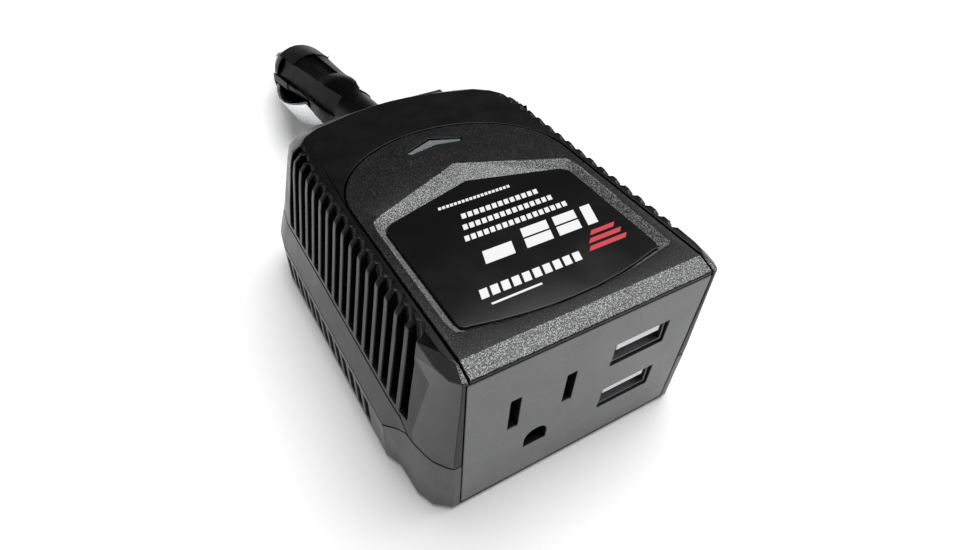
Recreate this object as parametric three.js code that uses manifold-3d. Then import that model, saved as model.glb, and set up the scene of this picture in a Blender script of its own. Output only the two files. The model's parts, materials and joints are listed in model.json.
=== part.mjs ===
// A handheld 12 V power inverter: a vented two-part housing with a mains outlet and two USB ports in
// its front face, a rocker switch on its rear wall, and a swivelling vehicle plug behind.
// Millimetres, +Z up. The outlet face looks along -Y and the plug leaves along +Y. The object stands on
// z = 0, and the origin is under the middle of its bounding box.

import * as THREE from 'three';
import { mergeVertices } from 'three/addons/utils/BufferGeometryUtils.js';
import Module from 'manifold-3d';

const wasm = await Module();
wasm.setup();

// ---------------------------------------------------------------- driving dimensions

const GAP = 0.3;                  // clearance between neighbouring pieces
const BIG = 200;                  // past the whole object in any direction
const ABOVE = 60;                 // a height above the whole object

// Housing. Its own y = 0 is the top edge of the outlet face.
const FACE_TOP_Z = 45;            // top edge of the outlet face
const TOP_RISE = 1.4;             // how far the roof stands above that edge
const TOP_BEVEL = 3.8;            // depth of the bevel between face and roof
const TOP_SLOPE = 0.034;          // the roof falls towards the plug
const WALL = 2.0;
const FLOOR_WALL = 2.4;
const ROOF_WALL = 4.6;            // roof panel and the shell under it
const PARTING_Z = 17.6;           // where the two shells meet
const RAIL_LOW_Z = 13;
const RAIL_HIGH_Z = 20.5;
const RAIL_DEPTH = 1.1;
const RAIL_TIP_Y = 12.2;
const RAIL_REAR_X = 21;          // each rail wraps the rear corner and ends here
const FACE_LEAN = 0.035;          // the outlet face leans back towards its foot

// Vents.
const VENT_PITCH = 4.29;
const VENT_WIDTH = 2.8;
const UPPER_VENT_COUNT = 16;
const UPPER_VENT_Y = 13.9;
const UPPER_VENT_INNER_X = 28.2;
const UPPER_VENT_LOW_Z = 22;
const VENT_TURN_Y = 66;           // behind this the inner ends follow the rear corner inwards
const VENT_TURN = 0.12;
const LOWER_VENT_COUNT = 13;
const LOWER_VENT_Y = 29.3;
const LOWER_VENT_Z = [2.6, 10.4];

// Roof panel, label and indicator lens.
const PANEL_HALF = 27;
const PANEL_SIDE_END_Y = 50;
const PANEL_REAR_Y = 72;
const PANEL_THICK = 2.6;
const PANEL_LIP_Z = 44.1;         // underside of the roof panel's lip over the outlet face
const LABEL_THICK = 0.5;
const LABEL_RECESS = 1.7;
const LENS_Y = 66.3;
const LENS_HALF = 7.2;
const LENS_DEPTH = 1.7;

// Outlet face.
const PLATE_HALF = 27.7;
const PLATE_THICK = 2.2;
const OUTLET_X = -10.4;
const BLADE_DROP = 17.5;          // face top edge to the middle of the blade slots
const BLADE_SPACING = 12.7;
const BLADE_SLOT = [2.3, 9.0];
const NEUTRAL_SLOT_EXTRA = 0.6;
const EARTH_DROP = 30.2;
const EARTH_SIZE = 5.4;
const FLANGE_REACH = 0.5;         // the plate's flange, past its sides
const FLANGE_DROP = 2.1;          // and short of its top edge
const FLANGE_THICK = 1.2;
const OUTLET_BLOCK = { half: 11, y: [4.9, 19], z: [10.4, 34.5], wellEnd: 18 };
const BLADE_WELL = [2.1, 5.4];
const EARTH_WELL = { half: 3.6, z: [11.6, 18.4] };
const CONTACT_SPAN = [5.6, 17.2];
const CONTACT_THICK = 0.5;
const USB_X = 12.7;
const USB_DROPS = [13.8, 28.9];
const USB_OPENING = [13.9, 6.7];
const USB_SHELL = [13.1, 5.7, 14];
const USB_SHELL_WALL = 0.4;
const USB_SETBACK = 0.6;          // how far the shell's mouth stands behind the face
const USB_TONGUE = { half: 5.5, length: 12.4, thick: 1.8 };

// Swivel plug. Its own frame has the pivot at its origin and runs along +Y.
const PIVOT_Y = 90;
const PIVOT_Z = 30.9;
const PLUG_DROOP = THREE.MathUtils.degToRad(12.5);
const KNUCKLE_RADIUS = 7.4;
const KNUCKLE_HALF = 6.9;
const BAY_HALF = 7.3;             // half width of the slot the plug folds through
const BAY_WALL = 1.4;
const BAY_FRONT_Y = 81.2;
const BAY_TOP_Z = 39.4;
const PIN_RADIUS = 1.8;
const PIN_HALF = 8.5;
const BARREL_END = 84.5;          // a thinner neck goes on from here into the nose cap
const NECK_RADIUS = 6.2;
const NECK_END = 91;
const NOSE_END = 101.5;
const TIP_RADIUS = 2.9;
const TIP_FLANGE = { radius: 4.2, back: 94.2, front: 95.2 };
const TIP_END = 113;
const FUSE_RADIUS = 3.1;
const FUSE_SPAN = [62.3, 93.9];
const SPRING_SPAN = [45.6, 62];
const BORE_START = 45.3;
const SPRING_TURNS = 7;
const SPRING_RADIUS = 2.5;
const SPRING_WIRE = 0.35;         // radius of the wire
const POCKET_TURN = 57;           // degrees from the top of the barrel to the middle of each side pocket
const LEAF_TURN = 118;            // and to the middle of each earth leaf
const LEAF_SPAN = [49, 82];
const LEAF_WIDTH = 9;
const LEAF_THICK = 0.8;
const LEAF_CROWN = 13.3;          // greatest height of a leaf over the plug's axis
const LEAF_SEAT = 8.5;            // and its height at its ends

// Rocker switch on the rear wall.
const SWITCH_X = 14.2;
const SWITCH_Z = 30.4;
const SWITCH_HALF = [5.2, 7.2];
const SWITCH_LIP = 0.8;           // how far the bezel's flange covers the wall round its hole
const ROCKER_HALF = [3.1, 5.4];
const ROCKER_TILT = THREE.MathUtils.degToRad(8);
const REAR_WALL_Y = 96.4;

// Boards and fasteners.
const BOARD_Z = 7.6;
const BOARD_THICK = 1.6;
const BOARD_HALF_X = 30.5;
const BOARD_SPAN_Y = [22, 79];
const TRANSFORMER = { x: [-14, 6], y: [40, 60], cheek: 3.5, top: 20, leg: 3 };
const CHOKE = { x: 16, y: 46, ring: 6, thick: 2.6 };
const HEAT_SINK = { x: 8, y: [62, 74], fins: 6, finPitch: 2.2, finThick: 1, top: 17 };
const CAPACITORS = {
  bulk: { x: -18.5, y: 32, radius: 6, height: 20 },
  input: { x: -20, y: 66, radius: 5, height: 16 },
  filter: { x: 0, y: 30, radius: 4, height: 12 },
};
const TRANSISTORS = [[14, 74.4], [14, 59.5], [20, 33.2], [-20.5, 44]];
const CASE_SCREWS = [[-25, 22], [25, 22], [-24.5, 80], [24.5, 80]];
const BOARD_SCREWS = [[-27, 31], [27, 31], [-27, 72], [27, 72]];

// ---------------------------------------------------------------- materials

function material(color, roughness, metalness = 0) {
  return new THREE.MeshStandardMaterial({ color, roughness, metalness });
}

const shellBlack = material(0x1c1e1f, 0.6);
const panelBlack = material(0x202325, 0.55);
const faceGrey = material(0x4a4c4e, 0.6);
const railBlack = material(0x17191b, 0.45);
const labelBlack = material(0x050505, 0.15);
const lensClear = material(0x8f9aa0, 0.1);
const ledGreen = material(0x3fae52, 0.3);
const insulatorBlack = material(0x101010, 0.7);
const brass = material(0xb08d4a, 0.35, 1);
const steel = material(0xa8abae, 0.35, 1);
const zinc = material(0xb9bec2, 0.3, 1);
const usbWhite = material(0xe8e8e6, 0.5);
const boardGreen = material(0x1e5a34, 0.5);
const ferrite = material(0x2d2c2b, 0.8);
const windingTape = material(0xd7b13a, 0.5);
const copper = material(0xb4652f, 0.35, 1);
const capSleeve = material(0x16202c, 0.4);
const aluminium = material(0xc3c6c9, 0.4, 1);
const plugBlack = material(0x141516, 0.5);
const redWire = material(0xb02020, 0.5);
const glassTube = material(0xdfe6e8, 0.1);

// ---------------------------------------------------------------- solids

// Turns a closed geometry into a solid that can be joined and cut.
function solid(geometry) {
  const bare = new THREE.BufferGeometry();
  bare.setAttribute('position', geometry.getAttribute('position').clone());
  if (geometry.index) bare.setIndex(geometry.index.clone());
  const welded = mergeVertices(bare, 1e-4);
  return new wasm.Manifold(new wasm.Mesh({
    numProp: 3,
    vertProperties: new Float32Array(welded.getAttribute('position').array),
    triVerts: new Uint32Array(welded.index.array),
  }));
}

function geometryOf(shape) {
  const mesh = shape.getMesh();
  const geometry = new THREE.BufferGeometry();
  geometry.setAttribute('position', new THREE.BufferAttribute(mesh.vertProperties, 3));
  geometry.setIndex(new THREE.BufferAttribute(mesh.triVerts, 1));
  geometry.computeVertexNormals();
  return geometry;
}

function union(...shapes) {
  return shapes.reduce((joined, shape) => joined.add(shape));
}

function block([x0, x1], [y0, y1], [z0, z1]) {
  const geometry = new THREE.BoxGeometry(x1 - x0, y1 - y0, z1 - z0);
  geometry.translate((x0 + x1) / 2, (y0 + y1) / 2, (z0 + z1) / 2);
  return solid(geometry);
}

// A round bar from one end to the other along 'x', 'y' or 'z', centred on the other two coordinates.
function bar(axis, radius, [from, to], [u, v], sides = 20) {
  const geometry = new THREE.CylinderGeometry(radius, radius, to - from, sides);
  const middle = (from + to) / 2;
  if (axis === 'x') {
    geometry.rotateZ(-Math.PI / 2);
    geometry.translate(middle, u, v);
  } else if (axis === 'y') {
    geometry.translate(u, middle, v);
  } else {
    geometry.rotateX(Math.PI / 2);
    geometry.translate(u, v, middle);
  }
  return solid(geometry);
}

// A turned solid about the Y axis, from (radius, y) points that start and end on the axis.
function turned(profile, sides = 28) {
  return solid(new THREE.LatheGeometry(profile.map(([r, y]) => new THREE.Vector2(r, y)), sides));
}

// An upright prism over a plan outline.
function prism(shape, [z0, z1], curveSegments = 8) {
  const geometry = new THREE.ExtrudeGeometry(shape, { depth: z1 - z0, bevelEnabled: false, curveSegments });
  geometry.translate(0, 0, z0);
  return solid(geometry);
}

// A prism along Y over an outline drawn in x and z.
function prismAlongY(shape, [y0, y1], curveSegments = 8) {
  const geometry = new THREE.ExtrudeGeometry(shape, { depth: y1 - y0, bevelEnabled: false, curveSegments });
  geometry.rotateX(Math.PI / 2);
  geometry.translate(0, y1, 0);
  return solid(geometry);
}

// A prism along X over an outline drawn in y and z.
function prismAlongX(shape, [x0, x1], curveSegments = 8) {
  const geometry = new THREE.ExtrudeGeometry(shape, { depth: x1 - x0, bevelEnabled: false, curveSegments });
  const turn = new THREE.Matrix4().makeBasis(
    new THREE.Vector3(0, 1, 0), new THREE.Vector3(0, 0, 1), new THREE.Vector3(1, 0, 0));
  geometry.applyMatrix4(turn);
  geometry.translate(x0, 0, 0);
  return solid(geometry);
}

function outline(points) {
  return new THREE.Shape(points.map(([u, v]) => new THREE.Vector2(u, v)));
}

// A solid skinned over rings of points that all have the same count, lowest ring first.
function skinned(rings) {
  const count = rings[0].length;
  const positions = rings.flat().flatMap((point) => point);
  const triangles = [];
  for (let ring = 0; ring + 1 < rings.length; ring += 1) {
    for (let i = 0; i < count; i += 1) {
      const a = ring * count + i;
      const b = ring * count + (i + 1) % count;
      triangles.push(a, b, b + count, a, b + count, a + count);
    }
  }
  const capFaces = (ring) => THREE.ShapeUtils.triangulateShape(
    rings[ring].map(([x, y]) => new THREE.Vector2(x, y)), []);
  const last = rings.length - 1;
  for (const [a, b, c] of capFaces(0)) triangles.push(a, c, b);
  for (const [a, b, c] of capFaces(last)) {
    triangles.push(last * count + a, last * count + b, last * count + c);
  }
  const geometry = new THREE.BufferGeometry();
  geometry.setAttribute('position', new THREE.Float32BufferAttribute(positions, 3));
  geometry.setIndex(triangles);
  return solid(geometry);
}

// ---------------------------------------------------------------- housing shape

function roofZ(y) {
  return FACE_TOP_Z + TOP_RISE - TOP_SLOPE * Math.max(y, 0);
}

function faceY(z) {
  return FACE_LEAN * (FACE_TOP_Z - z);
}

// One level of the housing in plan, anticlockwise from the front right corner. Each level is given by:
// face: half width of the outlet face, corner: end of the front corner facets, step and side: half
// widths ahead of and along the vents, rear: where the rear corner ends, tail: the rearmost y.
function levelOutline({ face, front, corner, step, side, sideEnd, rear, tail }) {
  const half = [
    [face, front],
    [face + (corner[0] - face) * 0.66, front + (corner[1] - front) * 0.4],
    corner,
    [step, 15.8],
    [side, 19.6],
    [side, sideEnd],
  ];
  const bend = new THREE.QuadraticBezierCurve(
    new THREE.Vector2(side, sideEnd),
    new THREE.Vector2(side - 1.2, rear[1] - 1.6),
    new THREE.Vector2(...rear),
  );
  for (const t of [0.25, 0.5, 0.75, 1]) {
    const point = bend.getPoint(t);
    half.push([point.x, point.y]);
  }
  for (const t of [0.35, 0.7]) {
    const x = rear[0] * (1 - t);
    half.push([x, rear[1] + (tail - rear[1]) * (1 - (1 - t) ** 2)]);
  }
  const mirrored = half.map(([x, y]) => [-x, y]).reverse();
  return [...half, [0, tail], ...mirrored];
}

const LEVELS = [
  {
    z: 0, face: 28.6, front: 2.2, corner: [33.6, 8.2], step: 34.0,
    side: 35.6, sideEnd: 83, rear: [26.5, 97.0], tail: 97.6,
  },
  {
    z: 1.2, face: 29.2, front: 1.55, corner: [34.1, 8.2], step: 34.5,
    side: 36.1, sideEnd: 83, rear: [27, 97.6], tail: 98.4,
  },
  {
    z: RAIL_LOW_Z, face: 29.3, front: 1.1, corner: [33.9, 8.6], step: 34.8,
    side: 36.2, sideEnd: 83, rear: [27.5, 98.0], tail: 98.6,
  },
  {
    z: RAIL_HIGH_Z, face: 29.4, front: 0.86, corner: [33.4, 10.6], step: 34.1,
    side: 34.2, sideEnd: 82, rear: [25.5, 96.8], tail: 97.6,
  },
  {
    z: 38.6, face: 28.6, front: 0.22, corner: [30.9, 7.2], step: 31.4,
    side: 31.5, sideEnd: 77, rear: [21, 94.0], tail: 96.0,
  },
];

// The shoulder and roof levels follow the falling roof line, and their front edge is the bevel.
const SHOULDER = {
  face: 28.4, front: 0, corner: [30.5, 5.2], step: 30.7,
  side: 30.8, sideEnd: 76, rear: [20, 90], tail: 92.4,
};
const SHOULDER_DROP = 1.9;
const ROOF = {
  face: 27.6, front: TOP_BEVEL, corner: [28.9, 7.5], step: 29.2,
  side: 29.3, sideEnd: 74, rear: [17, 86.6], tail: 89.6,
};

function shrunk(level, inset) {
  return {
    ...level,
    face: level.face - inset,
    front: level.front + inset,
    corner: [level.corner[0] - inset, level.corner[1] + inset * 0.4],
    step: level.step - inset,
    side: level.side - inset,
    rear: [level.rear[0] - inset * 0.6, level.rear[1] - inset],
    tail: level.tail - inset,
  };
}

function housingBlank() {
  const rings = LEVELS.map((level) => levelOutline(level).map(([x, y]) => [x, y, level.z]));
  const shoulder = levelOutline(SHOULDER);
  rings.push(shoulder.map(([x, y]) => [x, y, y < 1 ? FACE_TOP_Z : roofZ(y) - SHOULDER_DROP]));
  rings.push(levelOutline(ROOF).map(([x, y]) => [x, y, roofZ(y)]));
  return skinned(rings);
}

function housingHollow() {
  const rings = [];
  const floor = shrunk(LEVELS[1], WALL);
  rings.push(levelOutline(floor).map(([x, y]) => [x, y, FLOOR_WALL]));
  for (const level of LEVELS.slice(2)) {
    rings.push(levelOutline(shrunk(level, WALL)).map(([x, y]) => [x, y, level.z]));
  }
  rings.push(levelOutline(shrunk(SHOULDER, WALL)).map(([x, y]) => [x, y, roofZ(y) - ROOF_WALL]));
  return skinned(rings);
}

const blank = housingBlank();
const hollow = housingHollow();

// Everything above a plane that lies 'drop' under the roof and falls with it.
function slantedAbove(drop) {
  const geometry = new THREE.BoxGeometry(BIG, 2 * BIG, BIG);
  geometry.translate(0, 0, BIG / 2);
  geometry.rotateX(-Math.atan(TOP_SLOPE));
  geometry.translate(0, 0, FACE_TOP_Z + TOP_RISE - drop);
  return solid(geometry);
}

// ---------------------------------------------------------------- roof panel, label and lens

function panelShape(grow = 0) {
  const shape = new THREE.Shape();
  const half = PANEL_HALF + grow;
  shape.moveTo(-half, -5);
  shape.lineTo(half, -5);
  shape.lineTo(half, PANEL_SIDE_END_Y);
  shape.absellipse(0, PANEL_SIDE_END_Y, half, PANEL_REAR_Y - PANEL_SIDE_END_Y + grow, 0, Math.PI, false);
  shape.lineTo(-half, -5);
  return shape;
}

// The label's outline: straight sides and a shallow peak at the front and the rear. The recess around it
// has the same outline with a further peak and wider sides at the roof's surface.
function labelShape({ half, front, frontPeak, rear, rearPeak }, grow = 0) {
  const round = 2.2;
  const h = half + grow;
  const f = front - grow;
  const r = rear + grow;
  const shape = new THREE.Shape();
  shape.moveTo(-h + round, f);
  shape.quadraticCurveTo(0, f - 2 * (front - frontPeak), h - round, f);
  shape.quadraticCurveTo(h, f, h, f + round);
  shape.lineTo(h, r - round);
  shape.quadraticCurveTo(h, r, h - round, r + 1);
  shape.lineTo(0, rearPeak + grow);
  shape.lineTo(-h + round, r + 1);
  shape.quadraticCurveTo(-h, r, -h, r - round);
  shape.lineTo(-h, f + round);
  shape.quadraticCurveTo(-h, f, -h + round, f);
  return shape;
}

const LABEL = { half: 23, front: 10.4, frontPeak: 7.6, rear: 42.6, rearPeak: 49.6 };
const RECESS_RIM = { half: 24.9, front: 9.2, frontPeak: 6.4, rear: 44.6, rearPeak: 55.6 };

function labelRecess() {
  const ring = (outlineShape, drop) => {
    const points = outlineShape.getPoints(5).slice(0, -1);
    return points.map((point) => [point.x, point.y, roofZ(point.y) - drop]);
  };
  const floor = ring(labelShape(LABEL, GAP), LABEL_RECESS);
  const rim = ring(labelShape(RECESS_RIM), 0);
  return skinned([floor, rim, rim.map(([x, y, z]) => [x, y, z + 3])]);
}

function lensShape(grow = 0) {
  const half = LENS_HALF + grow;
  const depth = LENS_DEPTH / 2 + grow;
  const shape = new THREE.Shape();
  shape.moveTo(-half, LENS_Y - 1.5);
  shape.lineTo(-half + 1, LENS_Y - 1.5 - depth);
  shape.lineTo(0, LENS_Y - 0.2 - depth);
  shape.lineTo(half - 1, LENS_Y - 1.5 - depth);
  shape.lineTo(half, LENS_Y - 1.5);
  shape.lineTo(0, LENS_Y + depth + 0.6);
  shape.lineTo(-half, LENS_Y - 1.5);
  return shape;
}

function between(low, high) {
  return slantedAbove(low).subtract(slantedAbove(high));
}

const panel = blank
  .intersect(prism(panelShape(), [20, ABOVE], 14))
  .intersect(slantedAbove(PANEL_THICK))
  .subtract(block([-BIG, BIG], [-10, 5], [0, PANEL_LIP_Z]))
  .subtract(labelRecess())
  .subtract(prism(lensShape(GAP), [20, ABOVE]));
const label = prism(labelShape(LABEL), [20, ABOVE])
  .intersect(between(LABEL_RECESS - GAP / 2, LABEL_RECESS - GAP / 2 - LABEL_THICK));
const lens = prism(lensShape(), [20, ABOVE])
  .intersect(between(PANEL_THICK + 1.4, 0.35));
const indicator = union(
  bar('z', 1.4, [36.5, 39.6], [0, LENS_Y - 1]),
  bar('z', 1.9, [35.6, 36.6], [0, LENS_Y - 1]),
  block([-1.6, -1.0], [LENS_Y - 1.3, LENS_Y - 0.7], [BOARD_Z + BOARD_THICK + GAP, 35.7]),
  block([1.0, 1.6], [LENS_Y - 1.3, LENS_Y - 0.7], [BOARD_Z + BOARD_THICK + GAP, 35.7]),
);

// ---------------------------------------------------------------- outlet face

function faceOutline(half, bottom, top) {
  return outline([[-half, bottom], [half, bottom], [half, top], [-half, top]]);
}

// Leans a piece that was made against the upright plane y = 0 to the outlet face's own lean.
function leaned(shape) {
  return shape.warp((vertex) => {
    vertex[1] += faceY(vertex[2]);
  });
}

const THROUGH_FACE = [-5, 12];

function slot(x, z, width, height, depth = THROUGH_FACE) {
  return block([x - width / 2, x + width / 2], depth, [z - height / 2, z + height / 2]);
}

function earthHole() {
  const half = EARTH_SIZE / 2;
  const shape = new THREE.Shape();
  shape.moveTo(-half, -half);
  shape.lineTo(half, -half);
  shape.lineTo(half, 0);
  shape.absarc(0, 0, half, 0, Math.PI, false);
  shape.lineTo(-half, -half);
  return prismAlongY(shape, THROUGH_FACE).translate(OUTLET_X, 0, FACE_TOP_Z - EARTH_DROP);
}

const bladeZ = FACE_TOP_Z - BLADE_DROP;
const neutralX = OUTLET_X - BLADE_SPACING / 2;
const liveX = OUTLET_X + BLADE_SPACING / 2;
const [bladeWidth, bladeHeight] = BLADE_SLOT;

function outletOpenings() {
  return union(
    slot(neutralX, bladeZ, bladeWidth, bladeHeight + NEUTRAL_SLOT_EXTRA),
    slot(liveX, bladeZ, bladeWidth, bladeHeight),
    earthHole(),
  );
}

function usbOpenings() {
  return union(...USB_DROPS.map((drop) => slot(USB_X, FACE_TOP_Z - drop, ...USB_OPENING)));
}

// The plate fills the opening in the shells, and a flange behind it is caught in a groove.
const faceOpening = [1.6, FACE_TOP_Z - 0.9];
const facePlate = leaned(
  union(
    prismAlongY(
      faceOutline(PLATE_HALF - GAP, faceOpening[0] + GAP, faceOpening[1] - GAP),
      [0, PLATE_THICK],
    ),
    prismAlongY(
      faceOutline(PLATE_HALF + FLANGE_REACH, FLOOR_WALL + GAP, faceOpening[1] - FLANGE_DROP - GAP),
      [PLATE_THICK - 0.1, PLATE_THICK + FLANGE_THICK],
    ),
  )
    .subtract(outletOpenings())
    .subtract(usbOpenings()),
);

function outletBlock() {
  const { half, y, z, wellEnd } = OUTLET_BLOCK;
  const [wellHalf, wellRise] = BLADE_WELL;
  const well = (x, halfWidth, heights) => block([x - halfWidth, x + halfWidth], [0, wellEnd], heights);
  return block([OUTLET_X - half, OUTLET_X + half], y, z)
    .subtract(well(neutralX, wellHalf, [bladeZ - wellRise, bladeZ + wellRise]))
    .subtract(well(liveX, wellHalf, [bladeZ - wellRise, bladeZ + wellRise]))
    .subtract(well(OUTLET_X, EARTH_WELL.half, EARTH_WELL.z));
}

// A folded spring contact: two leaves on a bridge behind, open towards the face.
function contact(x, half, heights) {
  const [front, back] = CONTACT_SPAN;
  return union(
    block([x - half, x - half + CONTACT_THICK], [front, back], heights),
    block([x + half - CONTACT_THICK, x + half], [front, back], heights),
    block([x - half, x + half], [back - CONTACT_THICK, back], heights),
  );
}

function bladeContact(x) {
  return contact(x, 1.8, [bladeZ - 3, bladeZ + 3]);
}

// USB sockets: a folded steel shell that is open at the face, and a plastic tongue near its top.
const [usbWidth, usbHeight, usbLength] = USB_SHELL;

function usbZ(drop) {
  return FACE_TOP_Z - drop;
}

function usbFront(drop) {
  return faceY(usbZ(drop)) + USB_SETBACK;
}

function usbShell(drop) {
  const z = usbZ(drop);
  const front = usbFront(drop);
  const outer = slot(USB_X, z, usbWidth, usbHeight, [front, front + usbLength]);
  const hollowWidth = usbWidth - 2 * USB_SHELL_WALL;
  const hollowHeight = usbHeight - 2 * USB_SHELL_WALL;
  const inner = slot(USB_X, z, hollowWidth, hollowHeight, [front - 5, front + usbLength - USB_SHELL_WALL]);
  return outer.subtract(inner);
}

function usbTongue(drop) {
  const z = usbZ(drop) + 1.0;
  const front = usbFront(drop) + GAP;
  const { half, length, thick } = USB_TONGUE;
  return block([USB_X - half, USB_X + half], [front, front + length], [z - thick / 2, z + thick / 2]);
}

const usbBoard = block([USB_X - 9.5, USB_X + 9], [17.4, 19], [11, 37.5]);

// ---------------------------------------------------------------- shells

function upperVents() {
  const cuts = [];
  for (let k = 0; k < UPPER_VENT_COUNT; k += 1) {
    const y = UPPER_VENT_Y + k * VENT_PITCH;
    for (const side of [-1, 1]) {
      const inner = UPPER_VENT_INNER_X + VENT_WIDTH / 2 - Math.max(0, y - VENT_TURN_Y) * VENT_TURN;
      const span = side > 0 ? [inner, 45] : [-45, -inner];
      cuts.push(block(span, [y - VENT_WIDTH / 2, y + VENT_WIDTH / 2], [UPPER_VENT_LOW_Z, ABOVE]));
      cuts.push(bar('z', VENT_WIDTH / 2, [UPPER_VENT_LOW_Z, ABOVE], [side * inner, y], 12));
    }
  }
  return union(...cuts);
}

function lowerVents() {
  const cuts = [];
  for (let k = 0; k < LOWER_VENT_COUNT; k += 1) {
    const y = LOWER_VENT_Y + k * VENT_PITCH;
    for (const span of [[30, 45], [-45, -30]]) {
      cuts.push(block(span, [y - VENT_WIDTH / 2, y + VENT_WIDTH / 2], LOWER_VENT_Z));
    }
  }
  return union(...cuts);
}

// The rail is the band of the housing between two heights, down to RAIL_DEPTH, with a slanted front tip.
function railRegion(grow) {
  const low = RAIL_LOW_Z - grow;
  const high = RAIL_HIGH_Z + grow;
  const band = prismAlongX(outline([
    [RAIL_TIP_Y - grow, (low + high) / 2 + 1.2],
    [RAIL_TIP_Y + 7.5, low],
    [BIG, low],
    [BIG, high],
    [RAIL_TIP_Y + 3 - grow, high],
  ]), [-BIG / 2, BIG / 2]);
  const ring = (level, z) => levelOutline(shrunk(level, RAIL_DEPTH + grow)).map(([x, y]) => [x, y, z]);
  const [, , lowLevel, highLevel] = LEVELS;
  const inner = skinned([
    ring(lowLevel, RAIL_LOW_Z - 2),
    ring(lowLevel, RAIL_LOW_Z),
    ring(highLevel, RAIL_HIGH_Z),
    ring(highLevel, RAIL_HIGH_Z + 2),
  ]);
  const clearOfBay = block([-RAIL_REAR_X + grow, RAIL_REAR_X - grow], [80, BIG], [0, ABOVE]);
  return band.subtract(inner).subtract(clearOfBay);
}

function rail(side) {
  const half = block(side > 0 ? [0, BIG] : [-BIG, 0], [-BIG, BIG], [0, ABOVE]);
  return blank.intersect(railRegion(0)).intersect(half);
}

// The walls of the slot that the plug's neck folds through, and the slot itself.
function bayWalls() {
  const half = BAY_HALF + BAY_WALL;
  return block([-half, half], [BAY_FRONT_Y - BAY_WALL, BIG], [-5, BAY_TOP_Z + BAY_WALL]).intersect(blank);
}

function baySlot() {
  return block([-BAY_HALF, BAY_HALF], [BAY_FRONT_Y, BIG], [-5, BAY_TOP_Z]);
}

function screwPosts(points, radius, [z0, z1]) {
  return union(...points.map((point) => bar('z', radius, [z0, z1], point, 16)));
}

function switchHole() {
  const w = SWITCH_HALF[0] - SWITCH_LIP;
  const h = SWITCH_HALF[1] - SWITCH_LIP;
  return block([SWITCH_X - w, SWITCH_X + w], [85, 110], [SWITCH_Z - h, SWITCH_Z + h]);
}

// The opening for the outlet face, and the groove round it for the flange.
const faceCut = leaned(union(
  prismAlongY(faceOutline(PLATE_HALF, ...faceOpening), [-5, PLATE_THICK + 0.1]),
  prismAlongY(
    faceOutline(PLATE_HALF + FLANGE_REACH + 0.5, FLOOR_WALL, faceOpening[1] - FLANGE_DROP),
    [PLATE_THICK - GAP, 6],
  ),
));

function upperShell() {
  const above = block([-BIG, BIG], [-BIG, BIG], [PARTING_Z + GAP / 2, ABOVE]);
  const inside = blank.intersect(above);
  const posts = screwPosts(CASE_SCREWS, 3.0, [PARTING_Z + GAP / 2, 41]).intersect(inside);
  const sockets = screwPosts(CASE_SCREWS, 1.5, [0, 30]);
  return inside
    .subtract(hollow)
    .add(bayWalls().intersect(above))
    .add(posts)
    .subtract(sockets)
    .subtract(baySlot())
    .subtract(bar('x', PIN_RADIUS + 0.15, [-PIN_HALF - GAP, PIN_HALF + GAP], [PIVOT_Y, PIVOT_Z], 20))
    .subtract(prism(panelShape(GAP), [20, ABOVE], 14).intersect(slantedAbove(PANEL_THICK + GAP)))
    .subtract(prism(lensShape(GAP), [20, ABOVE]))
    .subtract(faceCut)
    .subtract(upperVents())
    .subtract(railRegion(GAP))
    .subtract(switchHole());
}

function lowerShell() {
  const below = block([-BIG, BIG], [-BIG, BIG], [-5, PARTING_Z - GAP / 2]);
  const inside = blank.intersect(below);
  const bosses = screwPosts(CASE_SCREWS, 3.2, [1, PARTING_Z - GAP / 2]);
  const standoffs = screwPosts(BOARD_SCREWS, 2.2, [1, BOARD_Z - GAP]);
  return inside
    .subtract(hollow)
    .add(bayWalls().intersect(below))
    .add(bosses)
    .add(standoffs)
    .subtract(screwPosts(CASE_SCREWS, 1.7, [-5, 30]))
    .subtract(screwPosts(CASE_SCREWS, 2.9, [-5, 3.4]))
    .subtract(screwPosts(BOARD_SCREWS, 1.2, [3, 20]))
    .subtract(baySlot())
    .subtract(faceCut)
    .subtract(lowerVents())
    .subtract(railRegion(GAP));
}

// ---------------------------------------------------------------- fasteners

function caseScrew([x, y]) {
  const head = bar('z', 2.5, [1.2, 3.0], [x, y], 16)
    .subtract(block([x - 1.8, x + 1.8], [y - 0.3, y + 0.3], [0, 2.0]))
    .subtract(block([x - 0.3, x + 0.3], [y - 1.8, y + 1.8], [0, 2.0]));
  return head.add(bar('z', 1.2, [2.9, 26], [x, y], 10));
}

function boardScrew([x, y]) {
  const top = BOARD_Z + BOARD_THICK + GAP;
  const head = bar('z', 1.9, [top, top + 1.3], [x, y], 14)
    .subtract(block([x - 1.3, x + 1.3], [y - 0.25, y + 0.25], [top + 0.6, top + 3]))
    .subtract(block([x - 0.25, x + 0.25], [y - 1.3, y + 1.3], [top + 0.6, top + 3]));
  return head.add(bar('z', 0.9, [3.8, top + 0.1], [x, y], 10));
}

// ---------------------------------------------------------------- electronics

const boardTop = BOARD_Z + BOARD_THICK;
const onBoard = boardTop + GAP;

function mainBoard() {
  let board = block([-BOARD_HALF_X, BOARD_HALF_X], BOARD_SPAN_Y, [BOARD_Z, boardTop]);
  for (const point of CASE_SCREWS) board = board.subtract(bar('z', 3.8, [0, 20], point, 16));
  for (const point of BOARD_SCREWS) board = board.subtract(bar('z', 1.3, [0, 20], point, 12));
  return board;
}

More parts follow.
